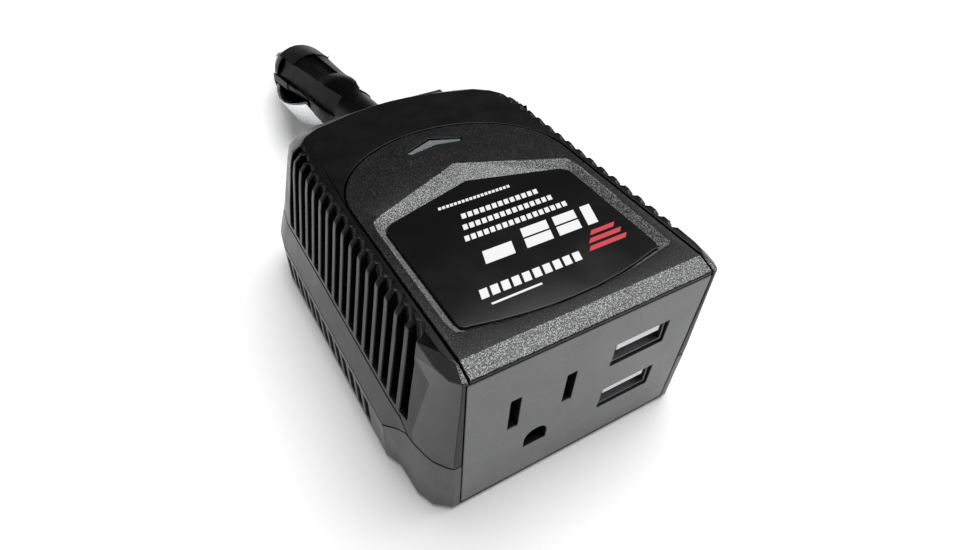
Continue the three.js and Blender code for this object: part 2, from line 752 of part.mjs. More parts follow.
// A lying E-core: two cheeks, a centre leg through the winding and a yoke over the top.
function transformerCore() {
  const { x, y, cheek, top, leg } = TRANSFORMER;
  const middle = (x[0] + x[1]) / 2;
  const inner = [y[0] + cheek - 0.1, y[1] - cheek + 0.1];
  const rise = [onBoard + 2, onBoard + top];
  return union(
    block(x, [y[0], y[0] + cheek], rise),
    block(x, [y[1] - cheek, y[1]], rise),
    block([middle - leg, middle + leg], inner, [onBoard + 8, onBoard + 14]),
    block(x, inner, [onBoard + top - 2.6, onBoard + top]),
  );
}

function transformerWinding() {
  const { x, y, cheek, top, leg } = TRANSFORMER;
  const middle = (x[0] + x[1]) / 2;
  const span = [y[0] + cheek + 0.4, y[1] - cheek - 0.4];
  const legHole = leg + GAP;
  return block([x[0] + 2.5, x[1] - 2.5], span, [onBoard, onBoard + top - 3])
    .subtract(block([middle - legHole, middle + legHole], y, [onBoard + 8 - GAP, onBoard + 14 + GAP]));
}

function choke() {
  const geometry = new THREE.TorusGeometry(CHOKE.ring, CHOKE.thick, 10, 20);
  geometry.translate(CHOKE.x, CHOKE.y, onBoard + CHOKE.thick + 0.4);
  return solid(geometry);
}

function heatSink() {
  const { x, y, fins, finPitch, finThick, top } = HEAT_SINK;
  let sink = block([x, x + (fins - 1) * finPitch + finThick], y, [onBoard, onBoard + 2]);
  for (let k = 0; k < fins; k += 1) {
    const low = x + finPitch * k;
    sink = sink.add(block([low, low + finThick], y, [onBoard + 1.9, onBoard + top]));
  }
  return sink;
}

function capacitor({ x, y, radius, height }) {
  return union(
    bar('z', radius, [onBoard, onBoard + height], [x, y], 18),
    bar('z', radius * 0.8, [onBoard + height - 0.1, onBoard + height + 0.4], [x, y], 18),
  );
}

// A power transistor standing on three legs, with its tab upwards.
function transistor([x, y]) {
  const leg = (offset) => {
    const middle = x + offset;
    return block([middle - 0.5, middle + 0.5], [y + 0.6, y + 1.4], [onBoard, onBoard + 3.1]);
  };
  return union(
    block([x - 5, x + 5], [y, y + 2.2], [onBoard + 3, onBoard + 12]),
    block([x - 5, x + 5], [y, y + 0.8], [onBoard + 11.9, onBoard + 17]),
    ...[-2.9, 0, 2.9].map(leg),
  );
}

// An insulated supply lead from the pivot to the board, rounded through its points.
function lead(x) {
  const path = new THREE.CatmullRomCurve3([
    new THREE.Vector3(x, 79.2, 30), new THREE.Vector3(x, 74, 29), new THREE.Vector3(x * 1.2, 68, 24),
    new THREE.Vector3(x * 1.3, 66.5, 17), new THREE.Vector3(x * 1.3, 66.5, onBoard),
  ]);
  const section = new THREE.Shape();
  section.absarc(0, 0, 1.1, 0, 2 * Math.PI, false);
  return solid(new THREE.ExtrudeGeometry(section, { steps: 14, extrudePath: path, curveSegments: 5 }));
}

// ---------------------------------------------------------------- rocker switch

function switchBezel() {
  const [w, h] = SWITCH_HALF;
  const [rw, rh] = ROCKER_HALF;
  const lip = SWITCH_LIP + GAP;
  const flange = block([SWITCH_X - w, SWITCH_X + w], [REAR_WALL_Y + 0.9, REAR_WALL_Y + 2.3],
    [SWITCH_Z - h, SWITCH_Z + h]);
  const body = block([SWITCH_X - w + lip, SWITCH_X + w - lip], [REAR_WALL_Y - 9, REAR_WALL_Y + 1],
    [SWITCH_Z - h + lip, SWITCH_Z + h - lip]);
  const well = block([SWITCH_X - rw - GAP, SWITCH_X + rw + GAP], [REAR_WALL_Y - 6, REAR_WALL_Y + 10],
    [SWITCH_Z - rh, SWITCH_Z + rh]);
  return flange.add(body).subtract(well);
}

// The rocker about its own pivot, in the middle of its travel, dished on its outer side.
function rocker() {
  const [rw, rh] = ROCKER_HALF;
  const tip = rh - 0.75;
  const side = outline([[-4, 2.2], [-4, -2.2], [-1, -tip], [1.5, -tip]]);
  side.quadraticCurveTo(0.1, 0, 1.5, tip);
  side.lineTo(-1, tip);
  return prismAlongX(side, [-rw, rw]);
}

// ---------------------------------------------------------------- swivel plug, in its own frame

const NECK_AND_BARREL = [
  [0, 2], [5.7, 2], [5.9, 14], [6.2, 22], [6.6, 30], [7.8, 34], [8.6, 37.5], [8.8, 41], [8.6, 46],
  [8.75, 50], [9.3, 59], [9.9, 67.6], [10.2, 68], [10.5, BARREL_END], [NECK_RADIUS, BARREL_END],
  [NECK_RADIUS, NECK_END], [0, NECK_END],
];
const BORE_RADIUS = 3.5;

// Moves a piece made on top of the barrel round its axis, by an angle from straight up.
function aroundBarrel(shape, degreesFromTop) {
  return shape.rotate([0, degreesFromTop, 0]);
}

function plugHousing() {
  const pocket = prismAlongX(outline([[29.5, 5.4], [90, 8.0], [90, 20], [29.5, 20]]), [-3.2, 3.2]);
  const topRecess = prismAlongX(outline([[46, 7.5], [69, 8.7], [69, 20], [46, 20]]), [-1.9, 1.9]);
  const seatHalf = LEAF_WIDTH / 2 + GAP;
  const leafSeat = block([-seatHalf, seatHalf], [LEAF_SPAN[0] - 1, LEAF_SPAN[1] + 1], [6, 20]);
  return turned(NECK_AND_BARREL)
    .add(bar('x', KNUCKLE_RADIUS, [-KNUCKLE_HALF, KNUCKLE_HALF], [0, 0], 28))
    .subtract(bar('x', PIN_RADIUS + GAP, [-20, 20], [0, 0], 20))
    .subtract(bar('y', BORE_RADIUS, [BORE_START, 100], [0, 0]))
    .subtract(aroundBarrel(pocket, POCKET_TURN))
    .subtract(aroundBarrel(pocket, -POCKET_TURN))
    .subtract(aroundBarrel(leafSeat, LEAF_TURN))
    .subtract(aroundBarrel(leafSeat, -LEAF_TURN))
    .subtract(topRecess);
}

// A tapering cap over the neck, with a chamber for the tip's flange and a hole for the tip.
function noseCap() {
  const back = BARREL_END + GAP;
  const neckHole = NECK_RADIUS + GAP;
  const chamber = TIP_FLANGE.radius + 0.4;
  const chamberEnd = TIP_FLANGE.front + GAP;
  return turned([
    [neckHole, back], [8.9, back], [8.9, 88], [8.0, 92], [7.0, 96], [5.6, 100], [4.6, NOSE_END],
    [TIP_RADIUS + GAP, NOSE_END], [TIP_RADIUS + GAP, chamberEnd], [chamber, chamberEnd],
    [chamber, NECK_END + GAP], [neckHole, NECK_END + GAP], [neckHole, back],
  ]);
}

function tipContact() {
  const { radius, back, front } = TIP_FLANGE;
  return turned([
    [0, back], [radius, back], [radius, front], [TIP_RADIUS, front],
    [TIP_RADIUS, TIP_END - 1.4], [1.9, TIP_END], [0, TIP_END],
  ], 20);
}

function fuse() {
  const [back, front] = FUSE_SPAN;
  return turned([
    [0, back], [FUSE_RADIUS, back], [FUSE_RADIUS, back + 6], [FUSE_RADIUS - 0.3, back + 6.1],
    [FUSE_RADIUS - 0.3, front - 6.1], [FUSE_RADIUS, front - 6], [FUSE_RADIUS, front], [0, front],
  ], 18);
}

function fuseSpring() {
  class Helix extends THREE.Curve {
    getPoint(t, target = new THREE.Vector3()) {
      const angle = 2 * Math.PI * SPRING_TURNS * t;
      const [back, front] = SPRING_SPAN;
      const y = back + SPRING_WIRE + (front - back - 2 * SPRING_WIRE) * t;
      return target.set(SPRING_RADIUS * Math.cos(angle), y, SPRING_RADIUS * Math.sin(angle));
    }
  }
  const wire = new THREE.Shape();
  wire.absarc(0, 0, SPRING_WIRE, 0, 2 * Math.PI, false);
  const sweep = { steps: 12 * SPRING_TURNS, extrudePath: new Helix(), curveSegments: 3 };
  return solid(new THREE.ExtrudeGeometry(wire, sweep));
}

// A bowed leaf that lies on top of the barrel before it is turned to its own side. Its outer line rises
// from the back end to the crown and falls to the front end, and the inner line follows it underneath.
function leaf() {
  const [back, front] = LEAF_SPAN;
  const middle = (back + front) / 2 - 1;
  const seat = LEAF_SEAT - LEAF_THICK;
  const bowed = outline([[back, seat], [front, seat], [front, LEAF_SEAT + 0.6]]);
  bowed.quadraticCurveTo(middle, 2 * LEAF_CROWN - LEAF_SEAT - 0.6, back, LEAF_SEAT);
  const under = outline([[back + 1.5, seat - 3], [front - 1.5, seat - 3], [front - 1.5, seat]]);
  under.quadraticCurveTo(middle, 2 * (LEAF_CROWN - LEAF_THICK) - seat, back + 1.5, seat);
  const leafBlank = prismAlongX(bowed, [-LEAF_WIDTH / 2, LEAF_WIDTH / 2], 10);
  return leafBlank.subtract(prismAlongX(under, [-LEAF_WIDTH, LEAF_WIDTH], 10));
}

// ---------------------------------------------------------------- assembly

function piece(name, shape, look) {
  const mesh = new THREE.Mesh(geometryOf(shape), look);
  mesh.name = name;
  return mesh;
}

const inverter = new THREE.Group();

inverter.add(
  piece('upper_shell', upperShell(), shellBlack),
  piece('lower_shell', lowerShell(), shellBlack),
  piece('roof_panel', panel, panelBlack),
  piece('label_plate', label, labelBlack),
  piece('indicator_lens', lens, lensClear),
  piece('indicator_led', indicator, ledGreen),
  piece('side_rail_left', rail(-1), railBlack),
  piece('side_rail_right', rail(1), railBlack),
  piece('outlet_face', facePlate, faceGrey),
  piece('outlet_block', outletBlock(), insulatorBlack),
  piece('neutral_contact', bladeContact(neutralX), brass),
  piece('live_contact', bladeContact(liveX), brass),
  piece('earth_contact', contact(OUTLET_X, 3.2, [12.6, 17.4]), brass),
  piece('usb_board', usbBoard, boardGreen),
  piece('main_board', mainBoard(), boardGreen),
  piece('transformer_core', transformerCore(), ferrite),
  piece('transformer_winding', transformerWinding(), windingTape),
  piece('choke', choke(), copper),
  piece('heat_sink', heatSink(), aluminium),
  piece('supply_lead_positive', lead(4), redWire),
  piece('supply_lead_negative', lead(-4), insulatorBlack),
  piece('switch_bezel', switchBezel(), insulatorBlack),
  piece('pivot_pin', bar('x', PIN_RADIUS, [-PIN_HALF, PIN_HALF], [PIVOT_Y, PIVOT_Z], 20), steel),
);

['upper', 'lower'].forEach((place, i) => {
  inverter.add(
    piece(`usb_socket_${place}`, usbShell(USB_DROPS[i]), steel),
    piece(`usb_tongue_${place}`, usbTongue(USB_DROPS[i]), usbWhite),
  );
});

Object.entries(CAPACITORS).forEach(([use, size]) => {
  inverter.add(piece(`${use}_capacitor`, capacitor(size), capSleeve));
});

TRANSISTORS.forEach((point, i) => {
  inverter.add(piece(`transistor_${i + 1}`, transistor(point), insulatorBlack));
});

CASE_SCREWS.forEach((point, i) => {
  inverter.add(piece(`case_screw_${i + 1}`, caseScrew(point), steel));
});

BOARD_SCREWS.forEach((point, i) => {
  inverter.add(piece(`board_screw_${i + 1}`, boardScrew(point), steel));
});

const rockerMesh = piece('switch_rocker', rocker(), insulatorBlack);
rockerMesh.position.set(SWITCH_X, REAR_WALL_Y + 0.6, SWITCH_Z);
rockerMesh.rotation.x = ROCKER_TILT;
inverter.add(rockerMesh);

const plug = new THREE.Group();
plug.add(
  piece('plug_housing', plugHousing(), plugBlack),
  piece('nose_cap', noseCap(), plugBlack),
  piece('tip_contact', tipContact(), zinc),
  piece('plug_fuse', fuse(), glassTube),
  piece('fuse_spring', fuseSpring(), steel),
  piece('earth_leaf_left', aroundBarrel(leaf(), -LEAF_TURN), zinc),
  piece('earth_leaf_right', aroundBarrel(leaf(), LEAF_TURN), zinc),
);
plug.position.set(0, PIVOT_Y, PIVOT_Z);
plug.rotation.x = -PLUG_DROOP;
inverter.add(plug);

// The housing is drawn from its own front edge, so the whole is moved to centre its box on the origin.
const box = new THREE.Box3().setFromObject(inverter, true);
inverter.position.y = -(box.min.y + box.max.y) / 2;

const part = new THREE.Group();
part.add(inverter);

export default part;
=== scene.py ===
"""The look of a handheld power inverter with a swivelling vehicle plug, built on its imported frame.

Everything is in metres in the frame's own axes: the outlet face looks along -Y, the plug leaves along +Y
and the object stands on z = 0.
"""

import json
import math

import bmesh
import bpy
from mathutils import Matrix, Vector

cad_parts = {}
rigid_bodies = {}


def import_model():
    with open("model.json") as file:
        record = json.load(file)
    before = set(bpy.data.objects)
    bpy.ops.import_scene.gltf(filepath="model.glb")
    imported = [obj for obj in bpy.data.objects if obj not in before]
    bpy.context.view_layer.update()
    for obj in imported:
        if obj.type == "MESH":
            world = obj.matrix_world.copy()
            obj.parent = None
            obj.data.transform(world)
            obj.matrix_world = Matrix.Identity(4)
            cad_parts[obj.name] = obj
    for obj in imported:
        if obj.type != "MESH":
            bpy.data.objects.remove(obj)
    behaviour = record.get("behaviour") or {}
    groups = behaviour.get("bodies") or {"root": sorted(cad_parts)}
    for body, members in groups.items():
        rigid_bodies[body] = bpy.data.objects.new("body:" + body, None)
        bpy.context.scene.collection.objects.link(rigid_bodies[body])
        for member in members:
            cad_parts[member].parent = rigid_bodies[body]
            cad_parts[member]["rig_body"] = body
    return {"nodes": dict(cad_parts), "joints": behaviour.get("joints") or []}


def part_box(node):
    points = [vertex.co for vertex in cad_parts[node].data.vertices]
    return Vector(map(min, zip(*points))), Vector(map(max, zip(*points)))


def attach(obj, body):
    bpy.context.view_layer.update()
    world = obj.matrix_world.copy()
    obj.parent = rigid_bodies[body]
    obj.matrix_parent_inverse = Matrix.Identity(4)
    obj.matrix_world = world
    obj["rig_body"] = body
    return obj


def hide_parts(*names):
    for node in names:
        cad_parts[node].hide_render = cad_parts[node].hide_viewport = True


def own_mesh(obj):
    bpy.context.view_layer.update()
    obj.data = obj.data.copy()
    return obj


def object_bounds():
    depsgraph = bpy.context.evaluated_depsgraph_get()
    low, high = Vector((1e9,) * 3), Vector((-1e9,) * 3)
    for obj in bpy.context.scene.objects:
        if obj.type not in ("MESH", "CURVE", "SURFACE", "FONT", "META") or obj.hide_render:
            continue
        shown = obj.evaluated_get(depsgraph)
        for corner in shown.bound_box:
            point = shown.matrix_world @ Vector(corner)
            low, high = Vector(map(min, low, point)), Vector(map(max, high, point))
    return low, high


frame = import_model()
cad_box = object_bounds()
NODES = frame["nodes"]
MM = 0.001

# ---------------------------------------------------------------- driving values

CAMERA_AZIMUTH = math.radians(-32.91)
CAMERA_ELEVATION = math.radians(44.23)
CAMERA_ROLL = math.radians(3.11)
CAMERA_PLACE = Vector((-0.05982, cad_box[0].y - 0.05459, 0.13127))  # from the outlet face's top edge
CAMERA_LENS = 24.11

FLOOR_SIZE = 6.0
FLOOR_GLOW = 0.14
WORLD_STRENGTH = 0.06
OVERHEAD_STRENGTH = 3.7
OVERHEAD_WIDTH = 62
OVERHEAD_FROM = (0.30, 0.10, 0.95)

GRAIN = 2600  # texture scale of the fine moulded grain, per metre
SPARKLE = 4700  # and of the sharper sparkle on the roof panel
GRAIN_DEPTH = 0.10 * MM

CREASE_ANGLE = 24  # degrees; sharper edges than this are rounded
WELD = 0.004 * MM  # vertices closer than this are joined

BEVEL_DEPTH = 6 * MM  # how far the painted highlight strip reaches behind the roof panel's front edge
CORNER_DEPTH = 9 * MM  # and how far the rounded front corners, painted lighter, do

SPRING_TURNS = 9
SPRING_WIRE = 0.35 * MM  # radius of the spring's wire
SPRING_STEPS = 20  # points along one turn

PRINT_LIFT = 0.01 * MM  # gap under the label's print
PRINT_THICK = 0.04 * MM

# ---------------------------------------------------------------- materials


def new_material(name, color, roughness, metallic=0.0, **sockets):
    """A Principled material with its constant values set on the shader's own sockets."""
    made = bpy.data.materials.new(name)
    made.use_nodes = True
    shader = made.node_tree.nodes["Principled BSDF"]
    shader.inputs["Base Color"].default_value = (*color, 1)
    shader.inputs["Roughness"].default_value = roughness
    shader.inputs["Metallic"].default_value = metallic
    for socket, value in sockets.items():
        shader.inputs[socket.replace("_", " ")].default_value = value
    return made


def object_coordinates(tree):
    node = tree.nodes.get("coordinates")
    if node is None:
        node = tree.nodes.new("ShaderNodeTexCoord")
        node.name = "coordinates"
    return node.outputs["Object"]


def noise(tree, scale, detail=2.0, rough=0.5):
    node = tree.nodes.new("ShaderNodeTexNoise")
    node.inputs["Scale"].default_value = scale
    node.inputs["Detail"].default_value = detail
    node.inputs["Roughness"].default_value = rough
    tree.links.new(object_coordinates(tree), node.inputs["Vector"])
    return node.outputs["Fac"]


def ramp(tree, factor, stops):
    """A colour ramp over the factor, from (position, colour) stops."""
    node = tree.nodes.new("ShaderNodeValToRGB")
    elements = node.color_ramp.elements
    while len(elements) < len(stops):
        elements.new(0.5)
    for element, (position, color) in zip(elements, stops):
        element.position = position
        element.color = (*color, 1)
    tree.links.new(factor, node.inputs["Fac"])
    return node.outputs["Color"]


def add_bump(made, height, strength, distance):
    tree = made.node_tree
    shader = tree.nodes["Principled BSDF"]
    node = tree.nodes.new("ShaderNodeBump")
    node.inputs["Strength"].default_value = strength
    node.inputs["Distance"].default_value = distance
    tree.links.new(height, node.inputs["Height"])
    if shader.inputs["Normal"].is_linked:
        tree.links.new(shader.inputs["Normal"].links[0].from_socket, node.inputs["Normal"])
    tree.links.new(node.outputs["Normal"], shader.inputs["Normal"])


def grey(value):
    return (value, value * 1.01, value * 1.03)


def moulded(name, dark, light, roughness, bump, speckle=(0.52, 0.72), grain=GRAIN, gloss=0.5):
    """Black moulded plastic with a fine spark-eroded grain that carries a lighter speckle."""
    made = new_material(name, grey(dark), roughness, Specular_IOR_Level=gloss)
    tree = made.node_tree
    shader = tree.nodes["Principled BSDF"]
    fine = noise(tree, grain, detail=2.0, rough=0.6)
    stops = [(0.0, grey(dark)), (speckle[0], grey(dark)), (speckle[1], grey(light))]
    tree.links.new(ramp(tree, fine, stops), shader.inputs["Base Color"])
    broad = noise(tree, 160, detail=2.0)
    low, high = roughness - 0.04, roughness + 0.05
    tree.links.new(ramp(tree, broad, [(0.3, (low,) * 3), (0.7, (high,) * 3)]), shader.inputs["Roughness"])
    add_bump(made, fine, bump, GRAIN_DEPTH)
    return made


def glossy(name, color, roughness, scratch=0.05):
    """A smooth finish with a faint uneven gloss."""
    made = new_material(name, color, roughness)
    tree = made.node_tree
    shader = tree.nodes["Principled BSDF"]
    smears = noise(tree, 90, detail=4.0)
    stops = [(0.35, (roughness,) * 3), (0.75, (roughness + scratch,) * 3)]
    tree.links.new(ramp(tree, smears, stops), shader.inputs["Roughness"])
    return made


def metal(name, color, roughness, grain=1800, bump=0.08):
    """Bright metal with a fine drawn grain."""
    made = new_material(name, color, roughness, metallic=1.0)
    tree = made.node_tree
    shader = tree.nodes["Principled BSDF"]
    fine = noise(tree, grain, detail=3.0)
    low, high = max(0.05, roughness - 0.08), roughness + 0.12
    tree.links.new(ramp(tree, fine, [(0.3, (low,) * 3), (0.7, (high,) * 3)]), shader.inputs["Roughness"])
    add_bump(made, fine, bump, 0.05 * MM)
    return made


def board_material():
    """Green solder mask with paler copper areas showing under it."""
    made = new_material("board_green", (0.012, 0.09, 0.03), 0.35)
    tree = made.node_tree
    shader = tree.nodes["Principled BSDF"]
    areas = noise(tree, 260, detail=1.0)
    stops = [(0.46, (0.010, 0.075, 0.025)), (0.5, (0.03, 0.15, 0.05))]
    tree.links.new(ramp(tree, areas, stops), shader.inputs["Base Color"])
    return made


BANDS_PER_SCALE = 0.31  # the wave texture's bands per unit of its scale


def winding_material(name, dark, light, pitch):
    """Wound wire or tape: bands across the piece's own X axis."""
    made = new_material(name, light, 0.4)
    tree = made.node_tree
    shader = tree.nodes["Principled BSDF"]
    wave = tree.nodes.new("ShaderNodeTexWave")
    wave.inputs["Scale"].default_value = BANDS_PER_SCALE / pitch
    wave.inputs["Distortion"].default_value = 0.4
    tree.links.new(object_coordinates(tree), wave.inputs["Vector"])
    tree.links.new(ramp(tree, wave.outputs["Fac"], [(0.1, dark), (0.6, light)]), shader.inputs["Base Color"])
    add_bump(made, wave.outputs["Fac"], 0.4, 0.2 * MM)
    return made


def lens_material():
    """Clear plastic with a faintly frosted surface."""
    made = new_material(
        "lens_clear", (0.50, 0.53, 0.55), 0.10, Transmission_Weight=0.7, IOR=1.49)
    frost = noise(made.node_tree, 900, detail=2.0)
    add_bump(made, frost, 0.08, 0.05 * MM)
    return made


LOOKS = {
    "shell_black": moulded("shell_black", 0.002, 0.006, 0.30, bump=0.22, gloss=0.20),
    # painted light: a lighter copy of the shell black, standing in for the floor's light on the lower
    # shell's faces
    "lower_black_painted_light": moulded("lower_black_painted_light", 0.045, 0.070, 0.36, bump=0.25, gloss=0.5),
    # painted light: a lighter copy of the shell black on the front corners' sideways faces, standing in for
    # their facet shading
    "corner_black_painted_light": moulded("corner_black_painted_light", 0.026, 0.040, 0.34, bump=0.22, gloss=0.45),
    "panel_black": moulded(
        "panel_black", 0.001, 0.090, 0.34, bump=0.45, speckle=(0.56, 0.70), grain=SPARKLE, gloss=0.18),
    # painted highlight: a bright silver speckle standing in for the overhead light's reflection on the roof
    # panel's slopes and the shell's front bevel
    "edge_painted_highlight": moulded(
        "edge_painted_highlight", 0.014, 0.50, 0.38, bump=0.50, speckle=(0.47, 0.64), grain=SPARKLE, gloss=0.35),
    "face_grey": moulded("face_grey", 0.150, 0.195, 0.42, bump=0.12),
    "rail_black": moulded("rail_black", 0.004, 0.007, 0.32, bump=0.08, gloss=0.40),
    "label_gloss": glossy("label_gloss", (0.0025, 0.0025, 0.003), 0.14),
    "lens_clear": lens_material(),
    "led_resin": glossy("led_resin", (0.16, 0.55, 0.22), 0.2),
    "insulator_black": moulded("insulator_black", 0.006, 0.010, 0.40, bump=0.10),
    "brass_contact": metal("brass_contact", (0.62, 0.44, 0.18), 0.3),
    "steel_bright": metal("steel_bright", (0.60, 0.61, 0.62), 0.28),
    "steel_shaded": metal("steel_shaded", (0.16, 0.16, 0.17), 0.4),
    "usb_white": glossy("usb_white", (0.95, 0.95, 0.93), 0.4),
    "board_green": board_material(),
    "ferrite_grey": moulded("ferrite_grey", 0.035, 0.055, 0.65, bump=0.2),
    "winding_tape": winding_material("winding_tape", (0.45, 0.31, 0.03), (0.70, 0.52, 0.08), 3 * MM),
    "copper_wire": winding_material("copper_wire", (0.30, 0.10, 0.03), (0.72, 0.33, 0.14), 0.9 * MM),
    "capacitor_sleeve": glossy("capacitor_sleeve", (0.008, 0.014, 0.025), 0.3),
    "aluminium_fins": metal("aluminium_fins", (0.72, 0.73, 0.74), 0.35),
    "lead_red": glossy("lead_red", (0.42, 0.02, 0.02), 0.4),
    "plug_black": moulded("plug_black", 0.002, 0.003, 0.32, bump=0.08, gloss=0.03),
    "zinc_contact": metal("zinc_contact", (0.78, 0.79, 0.81), 0.24),
    "fuse_glass": glossy("fuse_glass", (0.70, 0.74, 0.75), 0.08),
    "print_white": glossy("print_white", (0.78, 0.78, 0.78), 0.4),
    "print_red": glossy("print_red", (0.55, 0.02, 0.04), 0.4),
}

# ---------------------------------------------------------------- pieces made from the frame's nodes


def body_of(node):
    return NODES[node]["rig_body"]


def clean_mesh(node, name):
    """The node's surface as a plain mesh without split normals."""
    work = bmesh.new()
    work.from_mesh(NODES[node].data)
    bmesh.ops.remove_doubles(work, verts=work.verts, dist=WELD)
    work.verts.index_update()
    verts = [v.co.copy() for v in work.verts]
    faces = [[v.index for v in f.verts] for f in work.faces]
    work.free()
    mesh = bpy.data.meshes.new(name)
    mesh.from_pydata(verts, [], faces)
    mesh.update()
    return mesh


def finished(piece, look, body):
    """Gives a new piece its material and slot, and lets it ride on its body."""
    piece.data.materials.clear()
    piece.data.materials.append(LOOKS[look])
    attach(piece, body)
    return piece


def rounded(node, look, width, segments=3):
    """A copy of a node with its edges rounded by a width in millimetres, which stands for it."""
    mesh = clean_mesh(node, f"{node}_skin")
    piece = bpy.data.objects.new(f"{node}_skin", mesh)
    bpy.context.scene.collection.objects.link(piece)
    mesh.shade_smooth()
    bevel = piece.modifiers.new("round", "BEVEL")
    bevel.width = width * MM
    bevel.segments = segments
    bevel.limit_method = "ANGLE"
    bevel.angle_limit = math.radians(CREASE_ANGLE)
    bevel.use_clamp_overlap = False
    bevel.miter_outer = "MITER_ARC"
    weighted = piece.modifiers.new("normals", "WEIGHTED_NORMAL")
    weighted.keep_sharp = True
    finished(piece, look, body_of(node))
    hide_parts(node)
    return piece


ROUNDED = {
    "upper_shell": ("shell_black", 0.22),
    "lower_shell": ("lower_black_painted_light", 0.2),
    "roof_panel": ("panel_black", 0.3),
    "outlet_face": ("face_grey", 0.25),
    "side_rail_left": ("rail_black", 0.25),
    "side_rail_right": ("rail_black", 0.25),
    "label_plate": ("label_gloss", 0.12),
    "indicator_lens": ("lens_clear", 0.2),
    "switch_bezel": ("insulator_black", 0.3),
    "switch_rocker": ("insulator_black", 0.25),
    "plug_housing": ("plug_black", 0.3),
    "nose_cap": ("plug_black", 0.2),
    "tip_contact": ("zinc_contact", 0.3),
    "earth_leaf_left": ("zinc_contact", 0.15),
    "earth_leaf_right": ("zinc_contact", 0.15),
}

skins = {node: rounded(node, look, width) for node, (look, width) in ROUNDED.items()}


def repaint(piece, look, wanted):
    """Gives the faces that a test picks by their middle and their normal another material, here painted
    highlights, painted light and another finish.
    """
    piece.data.materials.append(LOOKS[look])
    index = len(piece.data.materials) - 1
    for face in piece.data.polygons:
        if wanted(face.center, face.normal):
            face.material_index = index


front_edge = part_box("roof_panel")[0].y
LEVEL = 0.985  # a face whose normal rises more than this is flat on top
SIDEWAYS = 0.35  # a face whose normal leans more than this to a side belongs to a shoulder


# picks the roof panel's slopes for the painted highlight
def is_panel_slope(middle, normal):
    return 0.3 < normal.z < LEVEL


def is_front_bevel(middle, normal):
    """The shell's bevelled strip between the roof and the outlet face, without its shoulders, which gets a
    painted highlight.
    """
    return 0.25 < normal.z < LEVEL and abs(normal.x) < SIDEWAYS and middle.y < front_edge + BEVEL_DEPTH


def is_front_corner(middle, normal):
    """The shell's rounded corners between the foremost vent and the outlet face, which get a painted lighter
    tone for the light falling on them.
    """
    return normal.z > -0.1 and abs(normal.x) >= SIDEWAYS and middle.y < front_edge + CORNER_DEPTH


def is_behind_face(middle, normal):
    """The walls of the outlet face's openings, and its back."""
    return normal.y > -0.5


# the painted highlight on the panel's slopes and the shell's front bevel
repaint(skins["roof_panel"], "edge_painted_highlight", is_panel_slope)
repaint(skins["upper_shell"], "edge_painted_highlight", is_front_bevel)
# painted light on the front corners
repaint(skins["upper_shell"], "corner_black_painted_light", is_front_corner)
repaint(skins["outlet_face"], "insulator_black", is_behind_face)

KEPT = {
    "indicator_led": "led_resin",
    "outlet_block": "insulator_black",
    "neutral_contact": "brass_contact",
    "live_contact": "brass_contact",
    "earth_contact": "brass_contact",
    "usb_board": "board_green",
    "main_board": "board_green",
    "transformer_core": "ferrite_grey",
    "transformer_winding": "winding_tape",
    "choke": "copper_wire",
    "heat_sink": "aluminium_fins",
    "bulk_capacitor": "capacitor_sleeve",
    "input_capacitor": "capacitor_sleeve",
    "filter_capacitor": "capacitor_sleeve",
    "supply_lead_positive": "lead_red",
    "supply_lead_negative": "insulator_black",
    "pivot_pin": "steel_bright",
    "usb_socket_upper": "steel_shaded",
    "usb_socket_lower": "steel_shaded",
    "usb_tongue_upper": "usb_white",
    "usb_tongue_lower": "usb_white",
    "plug_fuse": "fuse_glass",
}
for number in range(1, 5):
    KEPT[f"transistor_{number}"] = "insulator_black"
    KEPT[f"case_screw_{number}"] = "steel_bright"
    KEPT[f"board_screw_{number}"] = "steel_bright"

for node, look in KEPT.items():
    NODES[node].data.materials.clear()
    NODES[node].data.materials.append(LOOKS[look])

# ---------------------------------------------------------------- fuse spring


def tube_along(name, centres, radius, sides=8):
    """A closed round wire through the given centres."""
    work = bmesh.new()
    rings = []
    across = (centres[1] - centres[0]).orthogonal()
    for index, centre in enumerate(centres):
        ahead = centres[min(index + 1, len(centres) - 1)]
        behind = centres[max(index - 1, 0)]
        tangent = (ahead - behind).normalized()
        across = (across - tangent * across.dot(tangent)).normalized()
        other = tangent.cross(across)
        turns = [2 * math.pi * k / sides for k in range(sides)]
        places = [centre + (across * math.cos(a) + other * math.sin(a)) * radius for a in turns]
        rings.append([work.verts.new(place) for place in places])
    for first, second in zip(rings, rings[1:]):
        for k in range(sides):
            after = (k + 1) % sides
            work.faces.new((first[k], first[after], second[after], second[k]))
    work.faces.new(reversed(rings[0]))
    work.faces.new(rings[-1])
    bmesh.ops.recalc_face_normals(work, faces=work.faces)
    mesh = bpy.data.meshes.new(name)
    work.to_mesh(mesh)
    work.free()
    mesh.shade_smooth()
    piece = bpy.data.objects.new(name, mesh)
    bpy.context.scene.collection.objects.link(piece)
    return piece


